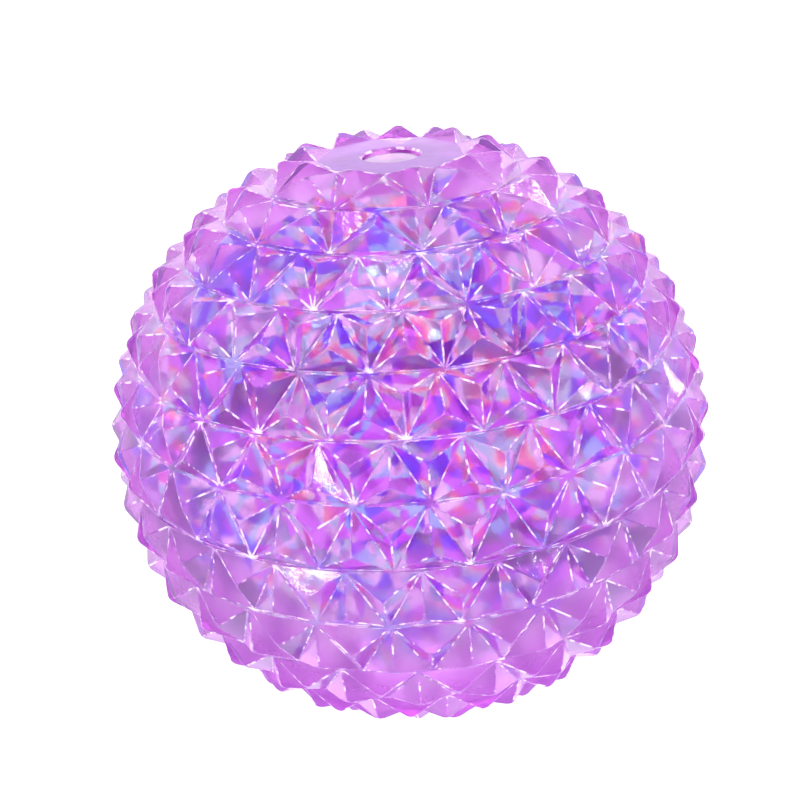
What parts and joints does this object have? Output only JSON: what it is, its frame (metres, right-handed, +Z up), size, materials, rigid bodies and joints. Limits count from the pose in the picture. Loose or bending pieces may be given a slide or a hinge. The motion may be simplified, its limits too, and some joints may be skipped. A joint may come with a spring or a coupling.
{
  "type": "squishy ball",
  "caption": "Hollow translucent rubber ball moulded all over with pyramids, loose iridescent film strips inside, a bonded stopper at the top; squashes when pressed and springs back.",
  "frame": {"origin": "middle of the flat foot, on the table", "axes": "+Z up through the stopper; the pictured side faces -Y; +X is the picture's right"},
  "size_m": [0.0996, 0.0996, 0.0958],
  "materials": {
    "lilac_rubber": "glossy translucent moulded thermoplastic rubber",
    "stopper_rubber": "glossy translucent moulded thermoplastic rubber",
    "iridescent_film": "thin clear film with a colour-shifting coat"
  },
  "bodies": {
    "ball": {"shell": "lilac_rubber", "film_1": "iridescent_film", "film_2": "iridescent_film", "film_3": "iridescent_film", "film_4": "iridescent_film", "film_5": "iridescent_film", "film_6": "iridescent_film", "film_7": "iridescent_film", "film_8": "iridescent_film"},
    "stopper": {"plug": "stopper_rubber"}
  },
  "joints": [
    {"name": "squeeze", "type": "slide", "parent": "ball", "child": "stopper", "axis": [0, 0, -1], "range_m": [0, 0.028], "stiffness_N_per_m": 300, "deforming": ["shell", "film_1", "film_2", "film_3", "film_4", "film_5", "film_6", "film_7", "film_8"]}
  ]
}
